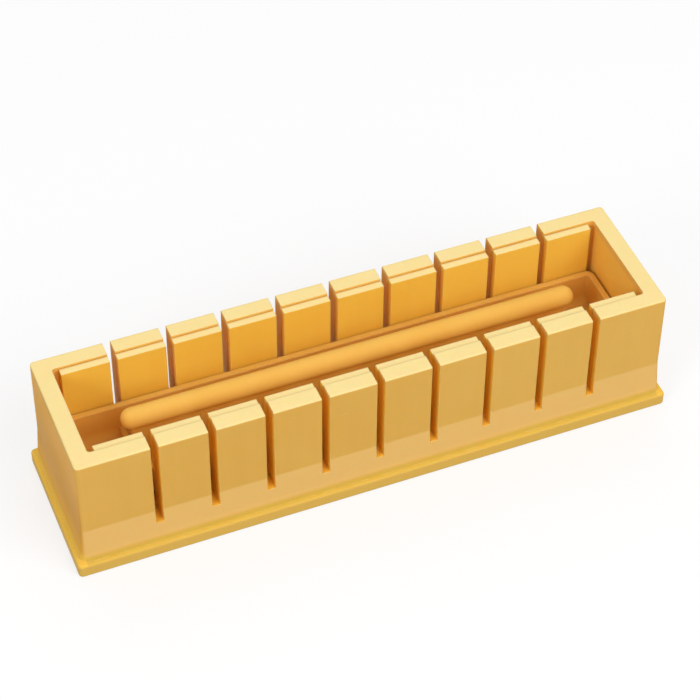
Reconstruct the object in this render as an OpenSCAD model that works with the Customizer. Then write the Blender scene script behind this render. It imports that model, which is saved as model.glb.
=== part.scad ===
// Long slotted mold for pressing and cutting a sushi roll.
// Three mouldings drop into each other: an open frame on a foot flange, a slotted tray
// that lines the frame and lifts out with the roll, and a press bar that packs the rice.
// X runs along the roll, Y across it and Z up. The origin is the centre of the footprint.

/* [Roll and knife slots] */
// Number of pieces that the knife slots divide the roll into
piece_count = 10; // [4:1:14]
// Length of one piece, from slot centre to slot centre
piece_len = 21.1; // [16:0.1:30]
// Extra length of the two end pieces
end_extra = 1; // [0:0.1:4]
// Clear width of the channel that the roll is pressed in
roll_w = 36; // [32:0.5:50]
// Radius of the roll's lower edges
roll_edge_r = 6; // [2:0.5:8]
// Width of a knife slot
slot_w = 3; // [2:0.1:4]
// Height of the slot bottoms, and of the floor that the roll lies on
sill_z = 14.5; // [13.5:0.5:18]

/* [Frame] */
// Height of the frame
frame_h = 53.4; // [50:0.1:80]
// Thickness of a long wall
side_wall = 6.2; // [5:0.1:9]
// Thickness of an end wall
end_wall = 6.5; // [5:0.1:10]
// Plan radius of the outer corners
corner_r = 1.5; // [1:0.1:4]
// Plan radius of the inner corners
inner_r = 1.2; // [0.4:0.1:1.6]
// Rounding of the rim's outer edge
rim_round = 0.6; // [0.2:0.1:0.9]
// Thickness of the skins around the hollow cores in the walls
skin = 1.7; // [1.2:0.05:2]
// Width of the ledge that carries the tray
ledge_w = 3.5; // [3:0.1:6]
// Thickness of the ledge that carries the tray
ledge_t = 3; // [2:0.1:4]

/* [Foot] */
// Draft of the walls below the rim, in degrees
draft = 0.35; // [0.1:0.05:1]
// Height at which the walls break into their lower taper
taper_z = 20.5; // [17:0.5:30]
// Slope of the lower taper, in degrees
taper = 4.3; // [2:0.1:6]
// Height at which the taper starts to sweep out to the foot
sweep_z = 9.8; // [8:0.1:12]
// Radius of that sweep
sweep_r = 30; // [15:0.5:45]
// How far the foot stands out from the rim
foot_out = 3.1; // [3:0.1:5]
// Height of the foot
foot_h = 5.4; // [4.5:0.1:6]
// Plan radius of the foot's corners
foot_corner_r = 1.6; // [1.5:0.1:4]
// Rounding of the foot's upper edge
foot_round = 1.1; // [0.6:0.1:1.4]
// Rounding of the edge that the foot stands on
base_round = 0.4; // [0.2:0.1:0.8]

/* [Lift tray] */
// Thickness of a tray wall
tray_wall = 2.9; // [2:0.1:4]
// Thickness of the tray floor
tray_floor = 3; // [2:0.1:4]
// How far the tray's walls stay below the rim
tray_drop = 0.9; // [0.5:0.1:5]
// Gap between the tray's open ends and the frame's end walls
tray_end_gap = 2.6; // [1.8:0.1:2.8]
// Sliding clearance between the tray and each long wall
tray_clear = 0.3; // [0.2:0.05:0.6]
// Depth of the ribs under the tray floor
keel_h = 2.5; // [1:0.1:4]
// Thickness of the ribs under the tray floor
keel_t = 1.6; // [1:0.1:2.5]
// Clearance between those ribs and the opening in the ledge
keel_clear = 0.4; // [0.2:0.1:1]

/* [Press] */
// Clearance between the press and each tray wall
press_side_clear = 0.8; // [0.4:0.1:2]
// Clearance between the press and each end wall
press_end_clear = 1; // [0.5:0.1:3]
// Thickness of the plate that bears on the rice
press_plate = 3; // [2:0.1:4]
// Thickness of the press's outer walls
press_wall = 2.2; // [1.5:0.1:2.6]
// Height of the press's outer walls
press_h = 17; // [14:0.5:20]
// Plan radius of the press's corners
press_corner_r = 3.2; // [3:0.1:5]
// Thickness of the press's cross ribs
rib_t = 1.8; // [1:0.1:3]
// Height of the cross ribs above the plate
rib_h = 3.5; // [2:0.5:6]
// Height of the whole press, to the top of its grip
grip_top = 30; // [27:0.5:32]
// Diameter of the grip bead
grip_d = 8; // [6:0.5:10]
// Thickness of the web that carries the grip bead
grip_web_t = 3.2; // [2:0.1:5]
// Distance from each end of the press to the grip
grip_inset = 21; // [10:1:35]

/* [Hidden] */
$fn = 96;
sweep_fn = 720;
// The sweep's circle bites this deep into the taper, which runs on past their crossing
sweep_bite = 0.002;
taper_lap = 0.6;
over = 1;

// Knife slots lie on the joints between the pieces of the roll
slot_x = [for (i = [1 : piece_count - 1]) (i - piece_count / 2) * piece_len];
cell_x = [for (i = [0 : piece_count - 1]) (i + 0.5 - piece_count / 2) * piece_len];

// The trough between the frame's four walls, and the rim round it
trough_l = piece_count * piece_len + 2 * end_extra;
trough_w = roll_w + 2 * (tray_wall + tray_clear);
rim_l = trough_l + 2 * end_wall;
rim_w = trough_w + 2 * side_wall;

// The tray stands on the ledge with its floor level with the slot bottoms
ledge_z = sill_z - tray_floor;
hole_l = trough_l - 2 * ledge_w;
hole_w = trough_w - 2 * ledge_w;
tray_l = trough_l - 2 * tray_end_gap;
tray_w = roll_w + 2 * tray_wall;
tray_h = frame_h - tray_drop - ledge_z;

// Wall profile, measured outwards from the centres of the rim's corners: rounded rim,
// drafted wall, taper, and the sweep that runs down into the foot
rim_c = [corner_r - rim_round, frame_h - rim_round];
wall_foot = [corner_r + (rim_c.y - taper_z) * tan(draft), taper_z];
taper_foot = [wall_foot.x + (taper_z - sweep_z) * tan(taper), sweep_z];
taper_end = taper_foot + taper_lap * [tan(taper), -1];
sweep_c = taper_foot + (sweep_r - sweep_bite) * [cos(taper), sin(taper)];
sunk_z = foot_h - foot_round;
foot_l = rim_l + 2 * foot_out;
foot_w = rim_w + 2 * foot_out;

// Hollow cores in the walls, open at the bottom
core_l = piece_len - slot_w - 2 * skin;
core_w = side_wall - 2 * skin;
core_h = frame_h - skin;
end_core_w = (trough_w - skin) / 2;
end_core_l = end_wall - 2 * skin;
foot_core_h = foot_h - skin;

// The press clears the tray's walls and the frame's ends
press_l = trough_l - 2 * press_end_clear;
press_w = roll_w - 2 * press_side_clear;
press_edge_r = roll_edge_r + press_side_clear;
least_hollow_r = 0.8;
hollow_edge_r = max(press_edge_r - press_plate, least_hollow_r);
rib_z = sill_z + press_plate + rib_h;
grip_l = press_l - 2 * grip_inset;
grip_z = sill_z + grip_top - grip_d / 2;

// Block with a rounded rectangular plan, its corner centres length by width apart, with
// the child profile carried round its edge between two heights. The corners leave out
// what the profile's roundings reach back past their axis.
module swept_block(length, width, bottom, top) {
  rotate([90, 0, 90])
    linear_extrude(length, center = true)
      both_edges(width, bottom, top)
        children();
  rotate([90, 0, 0])
    linear_extrude(width, center = true)
      both_edges(length, bottom, top)
        children();
  for (sx = [0, 1], sy = [0, 1])
    mirror([sx, 0, 0])
      mirror([0, sy, 0])
        translate([length / 2, width / 2, 0])
          rotate_extrude(angle = 90)
            intersection() {
              children();
              translate([0, bottom - over])
                square([width, top - bottom + 2 * over]);
            }
}

// Full cross section: the child profile on both sides of a flat middle
module both_edges(apart, bottom, top) {
  translate([-apart / 2, bottom])
    square([apart, top - bottom]);
  for (side = [0, 1])
    mirror([side, 0])
      translate([apart / 2, 0])
        children();
}

module round_rect(length, width, radius) {
  square([length, width - 2 * radius], center = true);
  square([length - 2 * radius, width], center = true);
  for (sx = [-1, 1], sy = [-1, 1])
    translate([sx * (length / 2 - radius), sy * (width / 2 - radius)])
      circle(radius);
}

// Block with rounded vertical edges between two heights
module round_block(length, width, bottom, top, radius) {
  translate([0, 0, bottom])
    linear_extrude(top - bottom)
      round_rect(length, width, radius);
}

// Plain block centred on the Z axis between two heights
module slab(length, width, bottom, top) {
  translate([-length / 2, -width / 2, bottom])
    cube([length, width, top - bottom]);
}

// Straight-sided channel with rounded lower edges, standing on the X axis
module channel_section(width, height, radius) {
  translate([-width / 2, radius])
    square([width, height - radius]);
  translate([radius - width / 2, 0])
    square([width - 2 * radius, radius]);
  for (side = [-1, 1])
    translate([side * (width / 2 - radius), radius])
      circle(radius);
}

// Outside of the walls, from inside the foot up to the rim
module wall_edge() {
  polygon([[0, taper_end.y], taper_end, wall_foot, [corner_r, rim_c.y], rim_c,
    [rim_c.x, frame_h], [0, frame_h]]);
  translate(rim_c)
    circle(rim_round);
  difference() {
    translate([0, sunk_z])
      square([sweep_c.x, sweep_z - sunk_z]);
    translate(sweep_c)
      circle(sweep_r, $fn = sweep_fn);
  }
}

// Edge of the foot plate, with its corners in plan a little rounder than the rim's
module foot_edge() {
  translate([0, base_round])
    square([foot_corner_r, sunk_z - base_round]);
  square([foot_corner_r - base_round, sunk_z]);
  square([foot_corner_r - foot_round, foot_h]);
  translate([foot_corner_r - foot_round, sunk_z])
    circle(foot_round);
  translate([foot_corner_r - base_round, base_round])
    circle(base_round);
}

// One slotted, hollow-walled box on a foot: everything that shows from outside
module mold_frame() {
  color([0.87, 0.68, 0.36])
    difference() {
      union() {
        swept_block(rim_l - 2 * corner_r, rim_w - 2 * corner_r, sunk_z, frame_h)
          wall_edge();
        swept_block(foot_l - 2 * foot_corner_r, foot_w - 2 * foot_corner_r, 0, foot_h)
          foot_edge();
      }
      trough();
      knife_slots(foot_w, frame_h + over);
      long_wall_cores();
      end_wall_cores();
    }
}

// The space between the walls: trough, opening in the ledge, and the well below it
module trough() {
  round_block(trough_l, trough_w, ledge_z, frame_h + over, inner_r);
  round_block(hole_l, hole_w, 0, ledge_z + over, inner_r);
  round_block(trough_l, trough_w, -over, ledge_z - ledge_t, inner_r);
}

// Slots across both long walls, open at the top
module knife_slots(across, top) {
  for (x = slot_x)
    translate([x, 0, 0])
      slab(slot_w, across, sill_z, top);
}

// The long walls are cored out between the slots, and the foot with them
module long_wall_cores() {
  wall_y = trough_w / 2 + skin;
  for (x = cell_x, side = [0, 1])
    mirror([0, side, 0])
      translate([x - core_l / 2, wall_y, -over]) {
        cube([core_l, core_w, core_h + over]);
        cube([core_l, core_w + foot_out, foot_core_h + over]);
      }
}

module end_wall_cores() {
  wall_x = trough_l / 2 + skin;
  for (side = [0, 1], half = [0, 1])
    mirror([side, 0, 0])
      mirror([0, half, 0])
        translate([wall_x, skin / 2, -over]) {
          cube([end_core_l, end_core_w - skin, core_h + over]);
          cube([end_core_l + foot_out, end_core_w - skin, foot_core_h + over]);
        }
}

// Slotted channel, open at both ends, with keyed ribs below its floor
module lift_tray() {
  color([0.89, 0.68, 0.28]) {
    difference() {
      slab(tray_l, tray_w, ledge_z, ledge_z + tray_h);
      rotate([90, 0, 90])
        linear_extrude(tray_l + 2 * over, center = true)
          translate([0, sill_z])
            channel_section(roll_w, frame_h, roll_edge_r);
      knife_slots(tray_w + 2 * over, frame_h);
    }
    keel();
  }
}

// Ribs that stiffen the floor and key the tray into the ledge opening, so that its
// slots stay in line with the frame's
module keel() {
  keel_l = hole_l - 2 * keel_clear;
  keel_w = hole_w - 2 * keel_clear;
  inner_l = keel_l - 2 * keel_t;
  inner_w = keel_w - 2 * keel_t;
  bottom = ledge_z - keel_h;
  difference() {
    round_block(keel_l, keel_w, bottom, ledge_z, inner_r);
    slab(inner_l, inner_w, bottom - over, ledge_z);
  }
  for (x = slot_x)
    translate([x, 0, 0])
      slab(keel_t, inner_w, bottom, ledge_z);
}

// Hollow ribbed bar with a grip bead; its flat face packs the rice
module press() {
  color([0.88, 0.69, 0.33]) {
    press_pan();
    press_grip();
  }
}

// Open-topped pan, with cross ribs left standing between its hollows
module press_pan() {
  rim_z = sill_z + press_h;
  difference() {
    pan_block(press_l, press_w, sill_z, rim_z, press_edge_r, press_corner_r);
    intersection() {
      pan_block(press_l - 2 * press_wall, press_w - 2 * press_wall,
        sill_z + press_plate, rim_z + over, hollow_edge_r, press_corner_r - press_wall);
      union() {
        slab(press_l, press_w, rib_z, rim_z + over);
        for (x = cell_x)
          translate([x, 0, 0])
            slab(piece_len - rib_t, press_w, sill_z, rib_z + over);
      }
    }
  }
}

// Block with rounded lower edges along its length and rounded corners in plan
module pan_block(length, width, bottom, top, edge_r, plan_r) {
  intersection() {
    rotate([90, 0, 90])
      linear_extrude(length, center = true)
        translate([0, bottom])
          channel_section(width, top - bottom, edge_r);
    round_block(length, width, bottom - over, top + over, plan_r);
  }
}

// Web along the middle of the pan with a round bead along its top
module press_grip() {
  slab(grip_l, grip_web_t, sill_z + press_plate, grip_z);
  translate([0, 0, grip_z]) {
    rotate([0, 90, 0])
      cylinder(grip_l, d = grip_d, center = true);
    for (side = [-1, 1])
      translate([side * grip_l / 2, 0, 0])
        sphere(d = grip_d);
  }
}

mold_frame();
lift_tray();
press();
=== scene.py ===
import math

import bpy
from mathutils import Euler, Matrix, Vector


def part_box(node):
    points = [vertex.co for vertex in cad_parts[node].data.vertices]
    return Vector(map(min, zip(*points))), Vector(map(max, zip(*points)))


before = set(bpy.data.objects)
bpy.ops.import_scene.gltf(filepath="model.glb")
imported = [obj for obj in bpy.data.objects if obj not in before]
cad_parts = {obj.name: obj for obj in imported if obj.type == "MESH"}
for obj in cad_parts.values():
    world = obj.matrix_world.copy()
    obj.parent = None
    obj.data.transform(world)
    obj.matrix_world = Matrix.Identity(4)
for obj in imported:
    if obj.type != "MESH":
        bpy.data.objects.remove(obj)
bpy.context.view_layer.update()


# ---- node helpers -------------------------------------------------------------------

class Nodes:
    """Adds and links the nodes of one material or world."""

    def __init__(self, tree):
        self.tree = tree
        tree.nodes.clear()

    def add(self, kind, inputs=None, **settings):
        """New node with these settings, its inputs linked or given a value."""
        node = self.tree.nodes.new(kind)
        for key, value in settings.items():
            setattr(node, key, value)
        for key, value in (inputs or {}).items():
            self.feed(node.inputs[key], value)
        return node

    def feed(self, socket, value):
        if isinstance(value, bpy.types.NodeSocket):
            self.tree.links.new(value, socket)
        else:
            socket.default_value = value

    def math(self, operation, a, b=0.0):
        return self.add("ShaderNodeMath", {0: a, 1: b}, operation=operation).outputs[0]

    def product(self, first, *others):
        for other in others:
            first = self.math("MULTIPLY", first, other)
        return first

    def mix(self, factor, a, b):
        """Colour a, turned into colour b by the factor."""
        node = self.add("ShaderNodeMix", data_type="RGBA")
        self.feed(node.inputs[0], factor)
        self.feed(node.inputs[6], a)
        self.feed(node.inputs[7], b)
        return node.outputs[2]

    def band(self, value, low, high, to_low=0.0, to_high=1.0):
        """Value between low and high, brought smoothly to the range to_low to to_high."""
        node = self.add("ShaderNodeMapRange",
                        {"Value": value, "From Min": low, "From Max": high,
                         "To Min": to_low, "To Max": to_high},
                        interpolation_type="SMOOTHSTEP")
        return node.outputs["Result"]

    def coordinates(self, kind):
        return self.add("ShaderNodeTexCoord").outputs[kind]

    def split(self, vector):
        """X, Y and Z of a vector, by name."""
        return self.add("ShaderNodeSeparateXYZ", {0: vector}).outputs

    def stretched(self, coords, scale, turn=(0, 0, 0)):
        return self.add("ShaderNodeMapping",
                        {"Vector": coords, "Scale": scale, "Rotation": turn}).outputs["Vector"]

    def noise(self, coords, scale, detail=2.0, roughness=0.5, distortion=0.0):
        node = self.add("ShaderNodeTexNoise",
                        {"Vector": coords, "Scale": scale, "Detail": detail,
                         "Roughness": roughness, "Distortion": distortion})
        return node.outputs[0]

    def bump(self, height, distance, normal):
        node = self.add("ShaderNodeBump", {"Height": height, "Distance": distance,
                                           "Strength": 1.0, "Normal": normal})
        return node.outputs["Normal"]

    def seen(self):
        """1 for the rays that look at a thing, 0 for those that light others by it."""
        path = self.add("ShaderNodeLightPath").outputs
        mirrored = self.math("MAXIMUM", path["Is Glossy Ray"], path["Is Transmission Ray"])
        return self.math("MAXIMUM", path["Is Camera Ray"], mirrored)


def srgb(red, green, blue):
    """Linear colour of an 8-bit screen colour."""
    def channel(value):
        value /= 255
        return value / 12.92 if value <= 0.04045 else ((value + 0.055) / 1.055) ** 2.4
    return (channel(red), channel(green), channel(blue), 1.0)


# ---- painted light and shade on the moulded plastic, by place -----------------------

# The tones are matched to the photograph under the lamps of this scene, so a part of what
# sets them apart stands for light on the real mold, and not for a change in its plastic
END_SHADING_LOW = srgb(241, 177, 66)      # outer faces of the ends, above the foot: painted shading, lighter low down, darkest in the middle, lightest high up
END_SHADING_MIDDLE = srgb(229, 167, 70)
END_SHADING_HIGH = srgb(250, 185, 80)
END_INSIDE_BOUNCE_LIGHT = srgb(253, 197, 86)   # the trough's end faces: painted bounce light, warmer and brighter
SLOT_BOUNCE_LIGHT = srgb(251, 190, 64)         # faces inside the knife slots: painted bounce light
TAPER_PAINTED_LIGHT = srgb(247, 198, 116)       # the tapered lower band of the long sides: painted light, paler than the wall above
# the foot's tone, set partly to how it is lit: painted shading
FOOT_SHADING = srgb(236, 191, 93)
VALLEY_PAINTED_SHADE = srgb(223, 183, 70)       # where the walls run down into the foot: painted shade in the crease
# painted light where the ends run down into the foot
END_VALLEY_PAINTED_LIGHT = srgb(245, 198, 82)
PALE_WEAR_AND_RIM_HIGHLIGHT = srgb(253, 225, 156)        # the rim's top as a painted highlight, and worn edges and scratches

RIM_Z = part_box("mold_frame")[1][2]

# Fades between these places, as (value without the tone, value with all of it).
# Heights, in metres:
TAPER_TOP, TAPER_BOTTOM = (0.0211, 0.0199), (0.0060, 0.0090)
FOOT_TOP = (0.0085, 0.0060)
BELOW_RIM, ABOVE_FOOT = (RIM_Z - 0.002, RIM_Z - 0.004), (0.0056, 0.0075)
END_TO_LOW, END_TO_HIGH = (0.019, 0.010), (0.020, 0.052)
VALLEY_TOP, VALLEY_BOTTOM = (0.0080, 0.0062), (0.0048, 0.0053)
END_VALLEY_TOP, END_VALLEY_BOTTOM = (0.0098, 0.0072), (0.0044, 0.0052)
RIM_TOP = (RIM_Z - 0.0035, RIM_Z - 0.0015)
# Distances from the middle, along the mold and across it, in metres:
OUTER_END = (0.1127, 0.1129)
INNER_END_FROM, INNER_END_TO = (0.1063, 0.1065), (0.1070, 0.1067)
SHORT_OF_ENDS, IN_LONG_WALLS = (0.1062, 0.1058), (0.0176, 0.0179)
OUTER_LONG_FACE = (0.0270, 0.0273)
# Parts of the surface's direction that point across the mold and up:
LOOKS_ACROSS, LOOKS_UP = (0.5, 0.9), (0.0, 0.6)


def painted_light_by_place(n, colour, place, facing):
    """Colour with light and shade painted by place on the frame's taper, ends, slots, foot and
    valleys.
    """
    height = place["Z"]
    along, across = n.math("ABSOLUTE", place["X"]), n.math("ABSOLUTE", place["Y"])
    looks_across = n.band(n.math("ABSOLUTE", facing["Y"]), *LOOKS_ACROSS)
    # Painted light on the tapered lower band of the long sides
    taper = n.product(n.band(height, *TAPER_TOP), n.band(height, *TAPER_BOTTOM),
                      n.band(across, *OUTER_LONG_FACE), looks_across)
    colour = n.mix(taper, colour, TAPER_PAINTED_LIGHT)
    # Painted shading on the foot
    colour = n.mix(n.band(height, *FOOT_TOP), colour, FOOT_SHADING)

    sideways = n.product(n.band(height, *BELOW_RIM), n.band(height, *ABOVE_FOOT),
                         n.math("SUBTRACT", 1.0, looks_across))
    outer_end = n.band(along, *OUTER_END)
    # The trough's end faces, which get painted bounce light
    inner_end = n.product(n.band(along, *INNER_END_FROM), n.band(along, *INNER_END_TO))
    # Faces inside the knife slots, which get painted bounce light
    slots = n.product(n.band(along, *SHORT_OF_ENDS), n.band(across, *IN_LONG_WALLS))
    # Painted shading up the ends' outer faces, in three steps of lightness
    end_painted_shading = n.mix(n.band(height, *END_TO_LOW), END_SHADING_MIDDLE, END_SHADING_LOW)
    end_painted_shading = n.mix(n.band(height, *END_TO_HIGH), end_painted_shading, END_SHADING_HIGH)
    for where, tone in ((outer_end, end_painted_shading), (inner_end, END_INSIDE_BOUNCE_LIGHT), (slots, SLOT_BOUNCE_LIGHT)):
        colour = n.mix(n.product(sideways, where), colour, tone)

    # Painted shade in the long sides' crease above the foot, painted light in the ends' crease
    valley = n.product(n.band(height, *VALLEY_TOP), n.band(height, *VALLEY_BOTTOM))
    colour = n.mix(n.product(valley, 0.7), colour, VALLEY_PAINTED_SHADE)
    end_valley = n.product(n.band(height, *END_VALLEY_TOP), n.band(height, *END_VALLEY_BOTTOM))
    return n.mix(n.product(end_valley, outer_end), colour, END_VALLEY_PAINTED_LIGHT)


# ---- moulded plastic ----------------------------------------------------------------

def scratch_lines(n, coords):
    """Handling scratches in two directions, few and short."""
    hairs = []
    for angle, shift in ((0.5, 3.1), (-0.9, 7.7)):
        fine = n.stretched(coords, scale=(34, 2600, 2600), turn=(angle, shift, angle * 2))
        lines = n.band(n.noise(fine, scale=1, detail=1, roughness=0.4), 0.69, 0.76)
        patches = n.band(n.noise(coords, scale=60 + 9 * shift), 0.56, 0.66)
        hairs.append(n.product(lines, patches))
    return n.math("MAXIMUM", *hairs)


def moulded_plastic(name, main, deep, turn):
    """Satin, slightly translucent moulding: colour flow, grain, sink marks, handling
    scratches and worn edges, all faint, as the photograph is too coarse to show them.
    turn sets the pattern off from the other pieces."""
    material = bpy.data.materials.new(name)
    material.use_nodes = True
    n = Nodes(material.node_tree)
    coords = n.stretched(n.coordinates("Object"), scale=(1, 1, 1), turn=(0, 0, turn))
    place, facing = n.split(n.coordinates("Object")), n.split(n.coordinates("Normal"))

    # Colour: broad clouds, and faint streaks where the melt ran up the walls
    clouds = n.noise(coords, scale=16, detail=3, roughness=0.55, distortion=0.6)
    streaks = n.noise(n.stretched(coords, scale=(170, 170, 14)), scale=1, detail=3, roughness=0.6)
    flow = n.math("ADD", n.product(n.band(clouds, 0.34, 0.66), 0.7),
                  n.product(n.band(streaks, 0.36, 0.64), 0.3))
    # Painted light and shade by place, over the plastic's own colour
    colour = painted_light_by_place(n, n.mix(flow, deep, main), place, facing)

    # Painted highlight: the rim's top, almost evenly pale, as it is lit from above
    patches = n.noise(coords, scale=90, detail=3, roughness=0.6)
    rim_top_highlight = n.product(n.band(facing["Z"], *LOOKS_UP), n.band(place["Z"], *RIM_TOP),
                        n.band(patches, 0.2, 0.6, to_low=0.93, to_high=1.0))
    colour = n.mix(rim_top_highlight, colour, PALE_WEAR_AND_RIM_HIGHLIGHT)

    # Worn edges: where the rounded normal turns away from the flat one
    rounded = n.add("ShaderNodeBevel", {"Radius": 0.0005}, samples=6).outputs["Normal"]
    flat = n.add("ShaderNodeNewGeometry").outputs["Normal"]
    agreement = n.add("ShaderNodeVectorMath", {0: rounded, 1: flat},
                      operation="DOT_PRODUCT").outputs["Value"]
    patches = n.noise(coords, scale=210, detail=4, roughness=0.7)
    wear = n.product(n.band(agreement, 0.995, 0.86), n.band(patches, 0.38, 0.6))
    colour = n.mix(n.product(wear, 0.55), colour, PALE_WEAR_AND_RIM_HIGHLIGHT)
    scratches = scratch_lines(n, coords)
    colour = n.mix(n.product(scratches, 0.22), colour, PALE_WEAR_AND_RIM_HIGHLIGHT)

    # Gloss: satin, duller in patches, where it is worn and along the scratches
    patches = n.noise(coords, scale=55, detail=4, roughness=0.6)
    rough = n.band(patches, 0.3, 0.7, to_low=0.46, to_high=0.58)
    rough = n.math("ADD", rough, n.product(wear, 0.16))
    rough = n.math("ADD", rough, n.product(scratches, 0.14))

    # Relief, in metres: slow sink marks, orange peel, fine grain and the scratches
    sink_marks = n.noise(coords, scale=42, detail=1, roughness=0.4)
    orange_peel = n.noise(coords, scale=420)
    grain = n.noise(coords, scale=2600, roughness=0.6)
    normal = n.bump(sink_marks, 0.00022, rounded)
    normal = n.bump(orange_peel, 0.000025, normal)
    normal = n.bump(grain, 0.000012, normal)
    normal = n.bump(n.product(scratches, -1.0), 0.00001, normal)

    shader = n.add("ShaderNodeBsdfPrincipled", {
        "Base Color": colour, "Roughness": rough, "Normal": normal,
        "IOR": 1.49, "Specular IOR Level": 0.07, "Subsurface Weight": 0.2,
        "Subsurface Radius": (1.0, 0.45, 0.12), "Subsurface Scale": 0.003,
    })
    n.add("ShaderNodeOutputMaterial", {"Surface": shader.outputs["BSDF"]})
    return material


PLASTICS = {
    "mold_frame": moulded_plastic("frame_plastic", srgb(240, 189, 95), srgb(236, 182, 87), 0.0),
    "lift_tray": moulded_plastic("tray_plastic", srgb(248, 199, 77), srgb(244, 192, 70), 1.1),
    "press": moulded_plastic("press_plastic", srgb(242, 190, 92), srgb(238, 183, 84), 2.3),
}
for node, plastic in PLASTICS.items():
    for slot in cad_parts[node].material_slots:
        slot.material = plastic


# ---- room ---------------------------------------------------------------------------

def white_room():
    """White world: plain soft fill for the surfaces, white itself where it is seen."""
    world = bpy.data.worlds.new("room")
    world.use_nodes = True
    bpy.context.scene.world = world
    n = Nodes(world.node_tree)
    strength = n.band(n.seen(), 0.0, 1.0, to_low=0.4, to_high=1.0)
    background = n.add("ShaderNodeBackground",
                       {"Color": (1.0, 1.0, 1.0, 1.0), "Strength": strength})
    n.add("ShaderNodeOutputWorld", {"Surface": background.outputs["Background"]})


def white_floor():
    """Floor that takes the shadow: matt grey, brought up to white by light of its own,
    which only the rays that look at it can see."""
    half = 3.0
    mesh = bpy.data.meshes.new("floor")
    mesh.from_pydata([(-half, -half, 0), (half, -half, 0), (half, half, 0), (-half, half, 0)],
                     [], [(0, 1, 2, 3)])
    floor = bpy.data.objects.new("floor", mesh)
    floor.location.z = -0.0001
    bpy.context.collection.objects.link(floor)
    material = bpy.data.materials.new("floor_white")
    material.use_nodes = True
    n = Nodes(material.node_tree)
    matt = n.add("ShaderNodeBsdfDiffuse", {"Color": (0.3, 0.3, 0.3, 1.0)})
    glow = n.add("ShaderNodeEmission", {"Strength": n.product(n.seen(), 0.7)})
    both = n.add("ShaderNodeAddShader", {0: matt.outputs[0], 1: glow.outputs[0]})
    n.add("ShaderNodeOutputMaterial", {"Surface": both.outputs[0]})
    mesh.materials.append(material)


def soft_lamp(name, place, size, watts):
    """Square area lamp aimed at the middle of the mold."""
    middle = Vector((0, 0, 0.03))
    data = bpy.data.lights.new(name, "AREA")
    data.shape = "SQUARE"
    data.size = size
    data.energy = watts
    lamp = bpy.data.objects.new(name, data)
    lamp.location = place
    lamp.rotation_euler = (middle - Vector(place)).to_track_quat("-Z", "Y").to_euler()
    bpy.context.collection.objects.link(lamp)


white_room()
white_floor()
soft_lamp("key_lamp", (0.5, -1.0, 1.02), size=1.2, watts=13.2)
soft_lamp("side_lamp", (-1.1, -0.6, 0.75), size=0.6, watts=6.4)
soft_lamp("back_lamp", (0.1, 0.9, 1.18), size=1.0, watts=4.2)


# ---- camera, at the photograph's viewing angle --------------------------------------

# Fitted to the rim's and foot's edges and to the slots in the photograph
CAMERA_PLACE = (-0.2280225, -0.5548022, 0.6617755)
CAMERA_DEGREES = (44.128118, -0.406352, -21.838918)

camera_data = bpy.data.cameras.new("camera")
camera_data.sensor_width = 36.0
camera_data.lens = 121.953
camera = bpy.data.objects.new("camera", camera_data)
camera.location = CAMERA_PLACE
camera.rotation_euler = Euler([math.radians(angle) for angle in CAMERA_DEGREES], "XYZ")
bpy.context.collection.objects.link(camera)
bpy.context.scene.camera = camera
bpy.context.scene.view_settings.view_transform = "Standard"
